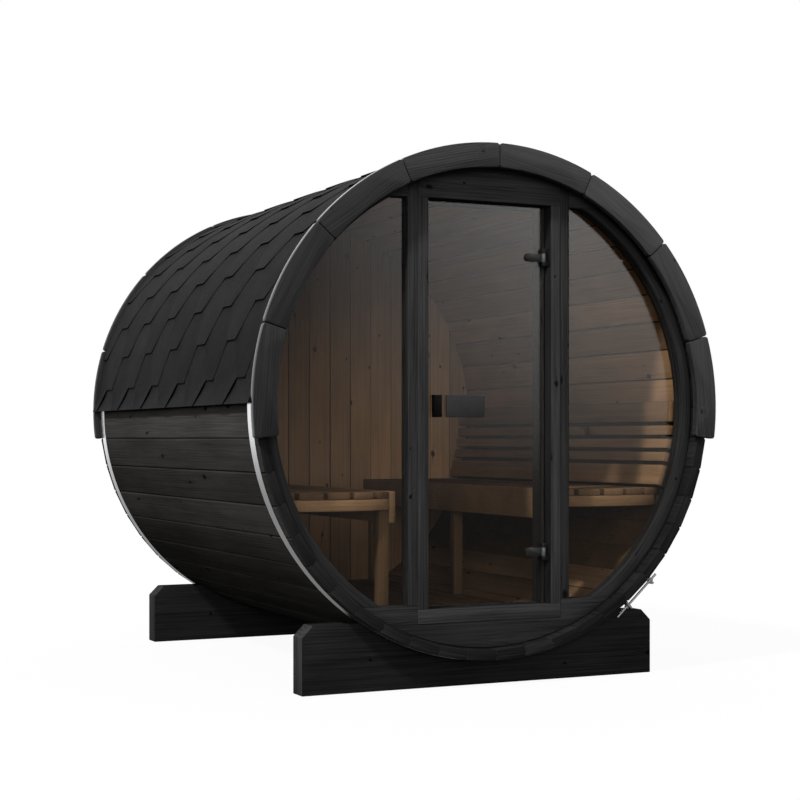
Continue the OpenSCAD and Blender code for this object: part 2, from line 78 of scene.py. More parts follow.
STAVE_INNER_R = BARREL_R - 0.035
CRADLE_END = 0.8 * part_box("cradle_front")[1].x
# Heights between which the staves that line the room get painted shade, where the backrests shade them
SHADE_BEHIND_BENCH = (0.45, BACKREST[1].z - 0.07)
BOARD_GAP = 0.0004
LATCH_SHARE = 0.22
KNUCKLE = 0.018

# Fascia boards, by the angle that an arch spans on each side of the crown
FASCIA_BOARDS = 8
FASCIA_END = math.radians(97.5)
FASCIA_STEP = 2 * FASCIA_END / FASCIA_BOARDS

# Staves, and the steps by which the stain gets lighter and darker from board to board
STAVE_STEP = math.radians(7.5)
STAVE_TONE = (0.382, 0.936)
# Fascia board round which painted light makes the fascia palest, as if more light fell on its upper right
FASCIA_PAINTED_LIGHT_BOARD = 5.0

# Shingles: angles are taken up from the eave
TAB_PITCH = 0.3635
TAB_FLAT = 0.098
FIRST_TAB_Y = -0.932
COURSES = 11
COURSE_RISE = math.radians(8.6)
FIRST_BUTT = math.radians(5.7)
EAVE = 0.0
RIDGE = math.radians(90)
LAP = 2.12
LAP_RISE = 0.0082
SHINGLE_T = 0.0043
STARTER_T = 0.0012
KICK = 0.023
KICK_FROM = math.radians(4.6)
KICK_BEND = 1.6
TABS_PER_STRIP = 3
ROWS = 10
CAP_HALF = math.radians(7.4)
CAP_STEP = 0.145
CAP_RISE = 0.003
ROOF_GAP = 0.0008

# Eased edges of the boards and the metal
BOARD_ROUND = 0.0016
FASCIA_ROUND = 0.003
CRADLE_ROUND = 0.003
BENCH_ROUND = 0.004
JOINT_ROUND = 0.0032
METAL_ROUND = 0.0012
PANE_ROUND = 0.0006
HANDLE_ROUND = 0.003
SHARP = math.radians(28)

# Camera of the photograph
CAMERA_AT = (-3.1341, -6.8176, 0.9692)
CAMERA_TURN = math.radians(-25.341)
FOCAL_PX = 1666.95
IMAGE_PX = 800.0
HORIZON_PX = 439.5
SENSOR = 36.0

# Studio light: a key from the upper left and soft light from the sides of the dome
KEY_TURN = math.radians(63.4)
KEY_HEIGHT = math.radians(45)
KEY_WIDTH = math.radians(5)
KEY = 1.75
ZENITH = 0.75
FRONT_LOW = 0.55
FRONT_HIGH = 0.35
LEFT_LOW = 0.0
LEFT_HIGH = 0.4
RIGHT_LOW = 0.7
RIGHT_HIGH = 0.3
BACK_FILL = 0.8

# A broad low light from the front left, that reaches the walls of the room through the glass
FILL_TURN = math.radians(24)
FILL_HEIGHT = math.radians(11)
FILL_WIDTH = math.radians(24)
FILL = 0.56

# A broad light from the left, that grazes the staves
SIDE_TURN = math.radians(82)
SIDE_HEIGHT = math.radians(24)
SIDE_WIDTH = math.radians(30)
SIDE = 0.2

# Level at which the floor and the dim studio meet in reflections
HORIZON = 0.20

SEED = 8


class Graph:
    """Adds nodes to one shader tree and links them."""

    def __init__(self, tree):
        self.tree = tree
        tree.nodes.clear()

    def add(self, kind, inputs=None, **settings):
        """A new node: inputs are values or sockets by name or place, settings its properties."""
        made = self.tree.nodes.new("ShaderNode" + kind)
        for name, value in settings.items():
            setattr(made, name, value)
        for name, value in (inputs or {}).items():
            if isinstance(value, bpy.types.NodeSocket):
                self.tree.links.new(value, made.inputs[name])
            else:
                made.inputs[name].default_value = value
        return made

    def math(self, operation, a, b=0.0, c=0.0):
        return self.add("Math", {0: a, 1: b, 2: c}, operation=operation).outputs[0]

    def vector(self, x, y, z):
        return self.add("CombineXYZ", {"X": x, "Y": y, "Z": z}).outputs[0]

    def split(self, vector):
        return self.add("SeparateXYZ", {0: vector}).outputs

    def stretch(self, vector, scale):
        return self.add("VectorMath", {0: vector, 1: scale}, operation="MULTIPLY").outputs[0]

    def shift(self, vector, by):
        return self.add("VectorMath", {0: vector, 1: by}, operation="ADD").outputs[0]

    def gap(self, vector, other):
        return self.add("VectorMath", {0: vector, 1: other}, operation="SUBTRACT").outputs[0]

    def length(self, vector):
        return self.add("VectorMath", {0: vector}, operation="LENGTH").outputs["Value"]

    def noise(self, vector, scale, detail=2.0, roughness=0.5):
        inputs = {"Vector": vector, "Scale": scale, "Detail": detail, "Roughness": roughness}
        return self.add("TexNoise", inputs).outputs[0]

    def remap(self, value, low, high, to_low=0.0, to_high=1.0, smooth=False):
        inputs = {"Value": value, "From Min": low, "From Max": high, "To Min": to_low, "To Max": to_high}
        kind = "SMOOTHSTEP" if smooth else "LINEAR"
        return self.add("MapRange", inputs, interpolation_type=kind).outputs[0]

    def mix(self, factor, a, b, blend="MIX"):
        made = self.add("Mix", data_type="RGBA", blend_type=blend)
        for socket, value in ((made.inputs[0], factor), (made.inputs[6], a), (made.inputs[7], b)):
            if isinstance(value, bpy.types.NodeSocket):
                self.tree.links.new(value, socket)
            else:
                socket.default_value = value
        return made.outputs[2]

    def grey(self, value):
        """A colour whose three channels are the value."""
        return self.add("CombineColor", {0: value, 1: value, 2: value}).outputs[0]

    def bump(self, height, distance, strength=1.0):
        inputs = {"Height": height, "Distance": distance, "Strength": strength}
        return self.add("Bump", inputs).outputs[0]

    def principled(self, inputs):
        """Principled shader linked to the output."""
        made = self.add("BsdfPrincipled", inputs)
        self.out(made.outputs[0])
        return made.outputs[0]

    def out(self, shader, kind="OutputMaterial"):
        made = self.add(kind)
        self.tree.links.new(shader, made.inputs[0])


def new_material(name):
    made = bpy.data.materials.new(name)
    made.use_nodes = True
    return made, Graph(made.node_tree)


# Wood

def board_frame(g, run):
    """Across, depth and length of a board in metres, from the way that its grain runs."""
    x, y, z = g.split(g.add("TexCoord").outputs["Object"])
    if run == "x":
        return g.vector(z, y, x)
    if run == "y":
        return g.vector(x, z, y)
    if run == "z":
        return g.vector(x, y, z)
    up = g.math("SUBTRACT", z, AXIS_Z)
    turn = g.math("ARCTAN2", x, up)
    if run == "chord":
        return chord_frame(g, x, y, up, turn)
    radius = g.math("SQRT", g.math("ADD", g.math("MULTIPLY", x, x), g.math("MULTIPLY", up, up)))
    arc = g.math("MULTIPLY", turn, BARREL_R)
    if run == "barrel":
        return g.vector(arc, radius, y)
    return g.vector(radius, y, arc)


def chord_frame(g, x, y, up, turn):
    """Frame of the fascia board at an angle from the crown: its length lies along the board's chord."""
    number = g.math("FLOOR", g.math("DIVIDE", g.math("ADD", turn, FASCIA_END), FASCIA_STEP))
    middle = g.math("MULTIPLY_ADD", number, FASCIA_STEP, FASCIA_STEP / 2 - FASCIA_END)
    cosine = g.math("COSINE", middle)
    sine = g.math("SINE", middle)
    along = g.math("SUBTRACT", g.math("MULTIPLY", x, cosine), g.math("MULTIPLY", up, sine))
    out = g.math("ADD", g.math("MULTIPLY", x, sine), g.math("MULTIPLY", up, cosine))
    return g.vector(out, y, along)


def knots(g, across, length, often):
    """Knot cores, the pull that they have on the rings and the dark checks beside them, each from 0 to 1."""
    flat = g.vector(across, g.math("MULTIPLY", length, 0.62), 0.0)
    ragged = g.add("TexNoise", {"Vector": flat, "Scale": 60.0, "Detail": 2.0}).outputs["Color"]
    flat = g.shift(flat, g.stretch(g.gap(ragged, (0.5, 0.5, 0.5)), (0.011, 0.011, 0.0)))
    cell = g.add("TexVoronoi", {"Vector": flat, "Scale": 5.6}, voronoi_dimensions="2D").outputs
    pick = g.split(cell["Color"])
    there = g.math("LESS_THAN", pick[0], often)
    size = g.remap(g.math("POWER", pick[1], 2.0), 0.0, 1.0, 0.0038, 0.0135)
    off = g.split(g.gap(flat, cell["Position"]))
    away = g.length(g.gap(flat, cell["Position"]))
    reach = g.math("DIVIDE", away, size)
    core = g.math("MULTIPLY", g.remap(reach, 1.25, 0.5, smooth=True), there)
    pull = g.math("MULTIPLY", g.remap(reach, 4.6, 0.5, smooth=True), there)
    lean = g.remap(pick[2], 0.0, 1.0, -0.3, 0.3)
    beside = g.math("ABSOLUTE", g.math("MULTIPLY_ADD", off[1], lean, off[0]))
    past = g.math("ABSOLUTE", off[1])
    check = g.math("MULTIPLY", g.remap(beside, 0.0040, 0.0006), g.remap(past, 0.055, 0.004))
    picked = g.math("MULTIPLY", g.math("GREATER_THAN", pick[1], 0.6), there)
    return core, pull, g.math("MULTIPLY", check, picked)


def board_tone(g, run, island, spread):
    """Stain of each board round 1: a few staves are paler; the fascia gets painted light, paler towards its upper
    right; others differ by chance.
    """
    if run not in ("barrel", "chord"):
        return g.remap(island, 0.0, 1.0, 1.0 - spread, 1.0 + spread)
    x, y, z = g.split(g.add("TexCoord").outputs["Object"])
    turn = g.math("ARCTAN2", x, g.math("SUBTRACT", z, AXIS_Z))
    if run == "barrel":
        number = g.math("FLOOR", g.math("DIVIDE", turn, STAVE_STEP))
        share = g.math("FRACT", g.math("MULTIPLY_ADD", number, STAVE_TONE[0], STAVE_TONE[1]))
        return g.remap(g.math("POWER", share, 4.0), 0.0, 1.0, 1.0 - spread / 3, 1.0 + spread * 2)
    # Painted light on the fascia: palest round one board at the upper right, darker towards the lower left
    number = g.math("FLOOR", g.math("DIVIDE", g.math("ADD", turn, FASCIA_END), FASCIA_STEP))
    away = g.math("ABSOLUTE", g.math("SUBTRACT", number, FASCIA_PAINTED_LIGHT_BOARD))
    share = g.math("POWER", g.remap(away, FASCIA_PAINTED_LIGHT_BOARD, 0.0), 2.0)
    return g.remap(share, 0.0, 1.0, 1.0 - spread, 1.0 + 1.4 * spread)


def wood(name, run, early, late, knot, tone=0.25, ring=0.009, rough=0.68, specular=0.0, relief=0.0006,
         often=0.62, swirl=1.0, damp=None, contrast=(0.10, 0.95)):
    """Softwood boards: growth rings bent round knots, long streaks, fine fibre, a tone for each board, and painted
    shade that darkens them towards the floor.
    """
    made, g = new_material(name)
    local = board_frame(g, run)
    island = g.add("NewGeometry").outputs["Random Per Island"]
    lot = g.math("MULTIPLY", island, 37.0)
    moved = g.shift(local, g.vector(lot, g.math("MULTIPLY", lot, 1.7), g.math("MULTIPLY", lot, 2.3)))
    across, deep, length = g.split(moved)
    core, pull, check = knots(g, across, length, often)
    drift = g.noise(g.stretch(moved, (4.0 * swirl, 4.0, 0.8 * swirl)), 1.0, 2.0)
    wobble = g.noise(g.stretch(moved, (22.0, 22.0, 2.4)), 1.0, 2.0)
    depth = g.math("MULTIPLY", drift, 0.045 * swirl)
    depth = g.math("MULTIPLY_ADD", wobble, 0.007, depth)
    depth = g.math("MULTIPLY_ADD", pull, 0.016, depth)
    depth = g.math("MULTIPLY_ADD", across, 0.75, depth)
    wave = g.math("SINE", g.math("MULTIPLY", depth, 2 * math.pi / ring))
    patchy = g.remap(g.noise(g.stretch(moved, (9.0, 9.0, 2.0)), 1.0, 2.0), 0.35, 0.65)
    rings = g.math("MULTIPLY", g.math("POWER", g.remap(wave, -1.0, 1.0), 2.0), patchy)
    streak = g.noise(g.stretch(moved, (75.0, 75.0, 1.5)), 1.0, 4.0, 0.65)
    fibre = g.noise(g.stretch(moved, (300.0, 300.0, 6.0)), 1.0, 2.0, 0.6)
    grain = g.math("MULTIPLY_ADD", rings, 0.24, g.math("MULTIPLY", g.remap(streak, 0.25, 0.75), 0.54))
    grain = g.math("MULTIPLY_ADD", fibre, 0.36, grain)
    colour = g.mix(g.remap(grain, *contrast), early, late)
    worn = g.noise(g.stretch(moved, (4.5, 4.5, 1.6)), 1.0, 3.0)
    board = g.math("MULTIPLY", board_tone(g, run, island, tone), g.remap(worn, 0.3, 0.7, 0.80, 1.20))
    # Painted shade: the boards darken towards the floor over the given heights, as the low part of the room lies in
    # shade
    if damp:
        board = g.math("MULTIPLY", board, g.remap(g.split(g.add("TexCoord").outputs["Object"])[2], *damp, LOW_SHADE_LEVEL, 1.0))
    colour = g.mix(1.0, colour, g.grey(board), "MULTIPLY")
    colour = g.mix(g.math("MAXIMUM", core, g.math("MULTIPLY", check, 0.75)), colour, knot)
    height = g.math("MULTIPLY_ADD", fibre, 0.7, g.math("MULTIPLY", rings, -0.6))
    height = g.math("MULTIPLY_ADD", core, 0.6, height)
    roughness = g.remap(grain, 0.1, 1.0, rough + 0.08, rough - 0.08)
    g.principled({
        "Base Color": colour, "Roughness": roughness, "Specular IOR Level": specular,
        "Normal": g.bump(height, relief),
    })
    return made


def shade(colour, factor):
    return tuple(part * factor for part in colour[:3]) + (1,)


BLACK_EARLY = (0.0625, 0.0625, 0.0622, 1)
BLACK_LATE = (0.0278, 0.0277, 0.0276, 1)
STAVE_EARLY = (0.0655, 0.0630, 0.0585, 1)
STAVE_LATE = (0.0285, 0.0272, 0.0250, 1)
BLACK_KNOT = (0.010, 0.0095, 0.009, 1)
BROWN_EARLY = (0.455, 0.288, 0.164, 1)
BROWN_LATE = (0.28, 0.171, 0.090, 1)
BROWN_KNOT = (0.050, 0.024, 0.013, 1)
# The cradles' darker stain is partly their own and partly painted shade from the barrel above them
CRADLE_STAIN_AND_SHADE = 0.5
# Painted light: the cradles' sawn ends are paler, as if lit from the side
CUT_PAINTED_LIGHT = 1.1
FASCIA_STAIN = 0.87
END_STAIN = 0.43
WALL_STAIN = 1.2
BACK_STAIN = 1.4
BENCH_STAIN = 0.85
# Painted shade: the bench slats are darker, as little light falls on them from above
SLAT_SHADE_DARKENING = 0.52
# Painted shade: the legs and backrest supports are darker, as they stand in the benches' shade
LEG_SHADE_DARKENING = 0.43
# Painted shade on the staves' inner faces past the end walls, under the roof's overhang
PORCH_SHADE_DARKENING = 0.4
# Painted shade on the jambs' sides that look into the doorway
REVEAL_SHADE_DARKENING = 0.4
PLATE_STAIN = 0.8
RING_STAIN = 0.85
# Painted shade: the floor boards are darker, as the low part of the room lies in shade
FLOOR_SHADE_DARKENING = 0.38
# Darker wood for the room's joints, also used as painted shade behind the backrests and in the slats' gaps
JOINT_AND_SHADE_DARKENING = 0.3
# Painted shade low in the room: how dark the boards get near the floor, and the heights over which it fades
LOW_SHADE_LEVEL = 0.55
LOW_SHADE_HEIGHTS = (0.45, 0.8)
BLACK_CONTRAST = (0.28, 0.76)


def black_wood(name, run, stain=1.0, **settings):
    early = shade(BLACK_EARLY, stain)
    late = shade(BLACK_LATE, stain)
    return wood("black_wood_" + name, run, early, late, shade(BLACK_KNOT, stain), contrast=BLACK_CONTRAST,
                **settings)


def thermo_wood(name, run, stain, **settings):
    early = shade(BROWN_EARLY, stain)
    late = shade(BROWN_LATE, stain)
    return wood("thermo_wood_" + name, run, early, late, shade(BROWN_KNOT, stain), tone=0.2, rough=0.6,
                relief=0.0003, **settings)


STAVE = wood("black_wood_stave", "barrel", STAVE_EARLY, STAVE_LATE, BLACK_KNOT, tone=0.28)
STAVE_END = black_wood("stave_end", "hoop", END_STAIN, often=0.0)
FASCIA = black_wood("fascia", "chord", FASCIA_STAIN, specular=0.2, rough=0.5, ring=0.008, tone=0.42)
FASCIA_SIDE = black_wood("fascia_side", "chord", FASCIA_STAIN, specular=0.5, rough=0.22, relief=0.0001)
# Staves' inner faces past the end walls, darkened with painted shade
PORCH_PAINTED_SHADE = black_wood("porch_painted_shade", "barrel", PORCH_SHADE_DARKENING)
RING = black_wood("ring", "hoop", RING_STAIN)
POST = black_wood("post", "z")
# Jambs' sides that look into the doorway, darkened with painted shade
REVEAL_PAINTED_SHADE = black_wood("reveal_painted_shade", "z", REVEAL_SHADE_DARKENING)
RAIL = black_wood("rail", "x")
PLATE = black_wood("plate", "x", PLATE_STAIN, swirl=2.2, often=0.25)
# Cradles: a darker stain, partly painted shade
CRADLE = black_wood("cradle", "x", CRADLE_STAIN_AND_SHADE)
# Cradles' sawn ends, made paler with painted light
CRADLE_CUT_PAINTED_LIGHT = black_wood("cradle_cut_painted_light", "z", CUT_PAINTED_LIGHT, often=0.0)
# The room's staves and back wall boards get painted shade towards the floor
WALL_STAVE = thermo_wood("wall_stave", "barrel", WALL_STAIN, damp=LOW_SHADE_HEIGHTS)
WALL_BOARD = thermo_wood("wall_board", "z", BACK_STAIN, damp=LOW_SHADE_HEIGHTS, often=0.95)
# Dark joints of the room, also painted shade on the staves behind the backrests
WALL_JOINT_AND_SHADE = thermo_wood("wall_joint", "z", JOINT_AND_SHADE_DARKENING)
BENCH = {run: thermo_wood("bench_" + run, run, BENCH_STAIN) for run in ("x", "y")}
# Bench slats, darkened with painted shade
SLAT = thermo_wood("slat", "y", SLAT_SHADE_DARKENING)
# Sides of the slats that line the gaps, darkened with painted shade
SLAT_GAP_SHADE = thermo_wood("slat_gap_shade", "y", JOINT_AND_SHADE_DARKENING)
# Legs and backrest supports, darkened with painted shade
LEG = thermo_wood("leg", "z", LEG_SHADE_DARKENING)
# Floor boards, darkened with painted shade
FLOOR_BOARD = thermo_wood("floor", "y", FLOOR_SHADE_DARKENING)


# Other materials

def shingle_face():
    """Mineral granules on bitumen, a little bluish, with paler and darker strips."""
    made, g = new_material("shingle_granules")
    place = g.add("TexCoord").outputs["Object"]
    island = g.add("NewGeometry").outputs["Random Per Island"]
    grains = g.add("TexVoronoi", {"Vector": place, "Scale": 420.0}).outputs
    pick = g.split(grains["Color"])[0]
    speck = g.remap(pick, 0.0, 1.0, 0.55, 1.45)
    cloud = g.noise(place, 9.0, 4.0, 0.6)
    tone = g.math("MULTIPLY", g.remap(cloud, 0.3, 0.7, 0.82, 1.18), g.remap(island, 0.0, 1.0, 0.86, 1.14))
    tone = g.math("MULTIPLY", tone, speck)
    colour = g.mix(1.0, (0.0172, 0.0173, 0.0183, 1), g.grey(tone), "MULTIPLY")
    height = g.math("SUBTRACT", 0.6, grains["Distance"])
    g.principled({
        "Base Color": colour, "Roughness": 0.8, "Specular IOR Level": 0.05,
        "Normal": g.bump(height, 0.0009, 0.7),
    })
    return made


def shingle_edge():
    """Cut edge of a shingle: bare bitumen felt."""
    made, g = new_material("shingle_edge")
    place = g.add("TexCoord").outputs["Object"]
    fuzz = g.noise(place, 300.0, 3.0)
    colour = g.mix(fuzz, (0.003, 0.003, 0.003, 1), (0.008, 0.008, 0.008, 1))
    g.principled({"Base Color": colour, "Roughness": 0.9, "Specular IOR Level": 0.02,
                  "Normal": g.bump(fuzz, 0.0004)})
    return made


def band_steel():
    """Rolled stainless band with fine scratches along the hoop."""
    made, g = new_material("band_steel")
    local = board_frame(g, "hoop")
    lines = g.noise(g.stretch(local, (900.0, 900.0, 6.0)), 1.0, 2.0)
    cloud = g.noise(local, 14.0, 3.0)
    colour = g.mix(cloud, (0.78, 0.79, 0.81, 1), (0.90, 0.91, 0.92, 1))
    g.principled({"Base Color": colour, "Metallic": 1.0, "Roughness": g.remap(lines, 0.2, 0.8, 0.16, 0.30),
                  "Normal": g.bump(lines, 0.00006)})
    return made


def black_metal(name, colour, specular, rough):
    """Satin black coated steel, with the faint orange peel of powder coat."""
    made, g = new_material("black_metal_" + name)
    place = g.add("TexCoord").outputs["Object"]
    peel = g.noise(place, 420.0, 2.0)
    cloud = g.noise(place, 30.0, 3.0)
    tint = g.mix(cloud, shade(colour, 0.75), shade(colour, 1.25))
    g.principled({"Base Color": tint, "Roughness": g.remap(cloud, 0.2, 0.8, rough - 0.06, rough + 0.06),
                  "Specular IOR Level": specular, "Normal": g.bump(peel, 0.00012)})
    return made


def tinted_glass():
    """Faintly bronze safety glass that lets the lamps through."""
    made, g = new_material("tinted_glass")
    place = g.add("TexCoord").outputs["Object"]
    film = g.noise(place, 1.6, 3.0)
    colour = g.mix(film, (0.90, 0.88, 0.855, 1), (0.93, 0.91, 0.885, 1))
    pane = g.add("BsdfPrincipled", {"Base Color": colour, "Roughness": 0.0, "IOR": 1.45,
                                    "Transmission Weight": 1.0})
    clear = g.add("BsdfTransparent", {"Color": colour})
    path = g.add("LightPath").outputs
    unbent = g.math("MAXIMUM", path["Is Shadow Ray"], path["Is Diffuse Ray"])
    g.out(g.add("MixShader", {0: unbent, 1: pane.outputs[0], 2: clear.outputs[0]}).outputs[0])
    return made


def glass_edge():
    """Ground edge of a pane, greenish and dark."""
    made, g = new_material("glass_edge")
    fuzz = g.noise(g.add("TexCoord").outputs["Object"], 240.0, 2.0)
    colour = g.mix(fuzz, (0.010, 0.014, 0.013, 1), (0.020, 0.026, 0.024, 1))
    g.principled({"Base Color": colour, "Roughness": 0.4, "Specular IOR Level": 0.2, "Normal": g.bump(fuzz, 0.0001)})
    return made


SHINGLE = shingle_face()
SHINGLE_EDGE = shingle_edge()
STEEL = band_steel()
LATCH = black_metal("latch", (0.0025, 0.0025, 0.0026), 0.08, 0.55)
PULL = black_metal("pull", (0.043, 0.043, 0.0437), 0.10, 0.55)
BRACKET = black_metal("bracket", (0.006, 0.006, 0.0062), 0.25, 0.45)
CLIP = black_metal("clip", (0.016, 0.0157, 0.0147), 0.50, 0.24)
PIN = black_metal("pin", (0.10, 0.10, 0.105), 0.70, 0.25)
GLASS = tinted_glass()
GLASS_EDGE = glass_edge()


# Boards dressed from the CAD pieces

def sharp_edges(bm):
    return [e for e in bm.edges if e.is_manifold and e.calc_face_angle() > SHARP]


def ease(bm, edges, width):
    bmesh.ops.bevel(bm, geom=edges, offset=width, offset_type="OFFSET", segments=2, profile=0.5,
                    affect="EDGES", clamp_overlap=True)


def shut_joints(bm):
    """Upright boards in a row grow sideways by half the gap between them, so that they meet."""
    for face in bm.faces:
        if abs(face.normal.x) > 0.999:
            for vert in face.verts:
                vert.co.x += math.copysign(BOARD_GAP / 2, face.normal.x)


def board_mesh(node, width, joint=None):
    """The node's solids with eased edges, wider where joint picks an edge by its middle and direction."""
    bm = bmesh.new()
    bm.from_mesh(frame["nodes"][node].data)
    bmesh.ops.remove_doubles(bm, verts=bm.verts, dist=1e-5)
    bmesh.ops.dissolve_limit(bm, angle_limit=math.radians(0.4), verts=bm.verts, edges=bm.edges)
    if joint is wall_joint:
        shut_joints(bm)
    edges = sharp_edges(bm)
    if joint:
        wide = [e for e in edges if joint((e.verts[0].co + e.verts[1].co) / 2, e.verts[1].co - e.verts[0].co)]
        ease(bm, wide, JOINT_ROUND)
        edges = sharp_edges(bm)
    ease(bm, edges, width)
    for edge in bm.edges:
        edge.smooth = not edge.is_manifold or edge.calc_face_angle() < SHARP
    for face in bm.faces:
        face.smooth = True
    return bm


def new_piece(name, bm, materials, body):
    """An object of the mesh that rides on a body and takes the given materials."""
    mesh = bpy.data.meshes.new(name)
    bm.to_mesh(mesh)
    bm.free()
    for material in materials:
        mesh.materials.append(material)
    piece = bpy.data.objects.new(name, mesh)
    bpy.context.scene.collection.objects.link(piece)
    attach(piece, body)
    return piece


def dress(node, materials, width=BOARD_ROUND, choose=None, joint=None):
    """Replaces a CAD node by its solids with eased edges; choose gives a face its material."""
    bm = board_mesh(node, width, joint)
    if choose:
        for face in bm.faces:
            face.material_index = choose(face.calc_center_median(), face.normal)
    body = frame["nodes"][node]["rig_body"]
    piece = new_piece(node + ".dressed", bm, materials, body)
    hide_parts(node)
    return piece


def outward(at):
    return Vector((at.x, 0.0, at.z - AXIS_Z)).normalized()


def stave_side(at, normal):
    """0 outside, 1 on the faces that line the room, 2 on sawn ends, 3 in the room's joints and in painted shade
    behind the backrests, 4 in painted shade past the end walls.
    """
    if abs(normal.y) > 0.9 and not FRONT_Y + 0.01 < at.y < BACK_Y - 0.01:
        return 2
    inward = -normal.dot(outward(at))
    if inward < 0.3:
        return 0
    # Painted shade on the inner faces past the end walls
    if not ROOM_FRONT < at.y < ROOM_BACK:
        return 4
    # Painted shade on the staves behind the backrests
    if SHADE_BEHIND_BENCH[0] < at.z < SHADE_BEHIND_BENCH[1]:
        return 3
    return 1 if inward > 0.97 else 3


def wall_side(at, normal):
    """0 on the back wall's stained faces, 1 on those that look into the room, 2 in the room's joints."""
    if normal.y > -0.3:
        return 0
    return 1 if normal.y < -0.97 else 2


def fascia_side(at, normal):
    """1 on the front fascia's sides that look away from the barrel's axis."""
    return int(at.y < 0 and normal.dot(outward(at)) > 0.7)


def cradle_side(at, normal):
    """1 on the cradles' sawn ends, which get painted light: paler, as if lit from the side."""
    return int(abs(normal.x) > 0.5 and abs(at.x) > CRADLE_END)


def stave_joint(at, along):
    """Long inner edges of the staves."""
    inner = math.hypot(at.x, at.z - AXIS_Z) < STAVE_INNER_R
    return inner and abs(along.normalized().y) > 0.9


def wall_joint(at, along):
    """Upright edges of the back wall's boards on the room's side."""
    return at.y < ROOM_BACK and abs(along.normalized().z) > 0.9


def dress_shell():
    for part in ("right_upper", "top", "left_upper", "left_lower", "bottom", "right_lower"):
        dress("staves_" + part, [STAVE, WALL_STAVE, STAVE_END, WALL_JOINT_AND_SHADE, PORCH_PAINTED_SHADE], choose=stave_side, joint=stave_joint)
    for part in ("left", "centre", "right"):
        dress("back_wall_" + part, [POST, WALL_BOARD, WALL_JOINT_AND_SHADE], choose=wall_side, joint=wall_joint)
    for end in ("front", "back"):
        for side in ("right", "left"):
            dress(f"fascia_{end}_{side}", [FASCIA, FASCIA_SIDE], width=FASCIA_ROUND, choose=fascia_side)
        dress("cradle_" + end, [CRADLE, CRADLE_CUT_PAINTED_LIGHT], width=CRADLE_ROUND, choose=cradle_side)


def jamb_side(at, normal):
    """1 on the jambs' sides that look into the doorway, which get painted shade."""
    return int(normal.x * at.x < 0 and abs(normal.x) > 0.7)


def dress_front():
    for side in ("left", "right"):
        dress("ring_" + side, [RING])
        dress("mullion_" + side, [POST])
        dress("jamb_" + side, [POST, REVEAL_PAINTED_SHADE], choose=jamb_side)
    dress("header", [RAIL])
    dress("door_sill", [RAIL])
    dress("wall_foot", [PLATE])


def bench_slat_side(at, normal):
    """1 on the sides of the bench slats, that line the gaps and get painted shade."""
    return int(abs(normal.x) > 0.7)


def backrest_slat_side(at, normal):
    """1 on the upper and lower sides of the backrest slats, that line the gaps and get painted shade."""
    return int(abs(normal.z) > 0.8)


def dress_room():
    dress("floor_boards", [FLOOR_BOARD])
    dress("floor_joists", [BENCH["x"]])
    for side in ("left", "right"):
        dress("bench_slats_" + side, [SLAT, SLAT_GAP_SHADE], BENCH_ROUND, bench_slat_side)
        dress("bench_frame_" + side, [BENCH["x"]], BENCH_ROUND)
        dress("backrest_" + side, [BENCH["y"], SLAT_GAP_SHADE], BENCH_ROUND, backrest_slat_side)
    dress("bench_legs", [LEG], BENCH_ROUND)
    dress("backrest_supports", [LEG])


def handle_side(at, normal):
    """0 on the latch block, 1 on the pull plate beside it."""
    low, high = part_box("door_handle")
    return int(at.x > low.x + LATCH_SHARE * (high.x - low.x))


def hinge_side(at, normal):
    """0 on the clips, 1 on the knuckles at the hinge's axis."""
    return int(at.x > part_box("door_glass")[1].x - KNUCKLE)


def pane_side(at, normal):
    """0 on a pane's faces, 1 on its edges."""
    return int(abs(normal.y) < 0.9)


def dress_metal():
    dress("door_handle", [LATCH, PULL], HANDLE_ROUND, handle_side)
    dress("door_hinges", [CLIP, PIN], METAL_ROUND, hinge_side)
    dress("hinge_brackets", [BRACKET], METAL_ROUND)
    pane = dress("door_glass", [GLASS, GLASS_EDGE], PANE_ROUND, pane_side)
    pane.data.shade_flat()


def finish_nodes():
    """Windows and bands keep the CAD shape and get their materials."""
    kinds = {
        "window_left": GLASS, "window_right": GLASS,
        "band_front": STEEL, "band_back": STEEL,
    }
    for node, material in kinds.items():
        slots = frame["nodes"][node].data.materials
        slots.clear()
        slots.append(material)


# Shingles

def kick(up):
    """How far the eave bends outward at an angle above it."""
    share = max(0.0, (KICK_FROM - up) / (KICK_FROM - EAVE))
    return KICK * share ** KICK_BEND


def roof_point(side, up, y, lift):
    radius = ROOF_IN + lift + kick(up)
    return Vector((side * radius * math.cos(up), y, AXIS_Z + radius * math.sin(up)))


def butt_line(course):
    """Angle of a course's lowest line above the eave."""
    return FIRST_BUTT + (course - 1) * COURSE_RISE


def lap_lift(course, up):
    """Height of a course's face over the roof's base: it falls from the butt to the covered head."""
    return STARTER_T + LAP_RISE * (1.0 - (up - butt_line(course)) / (LAP * COURSE_RISE))


def first_tab(course):
    """Middle of the first tab of a course; every other course is moved by half a tab."""
    return FIRST_TAB_Y + (TAB_PITCH / 2 if course % 2 == 0 else 0.0)


def tab_edge(course, y):
    """Height of a course's cut edge above its lowest line, from 0 at a tab to 1 in a notch."""
    off = abs((y - first_tab(course) + TAB_PITCH / 2) % TAB_PITCH - TAB_PITCH / 2)
    slope = TAB_PITCH / 2 - TAB_FLAT
    return min(1.0, max(0.0, (off - TAB_FLAT / 2) / slope))


def tab_breaks(course, low, high):
    """Places along the roof where a course's cut edge bends, from low to high."""
    found = {low, high}
    for tab in range(-2, 9):
        centre = first_tab(course) + tab * TAB_PITCH
        for off in (-TAB_PITCH / 2 + TAB_FLAT / 2, -TAB_FLAT / 2, TAB_FLAT / 2, TAB_PITCH / 2 - TAB_FLAT / 2):
            if low + 0.002 < centre + off < high - 0.002:
                found.add(centre + off)
    return sorted(found)


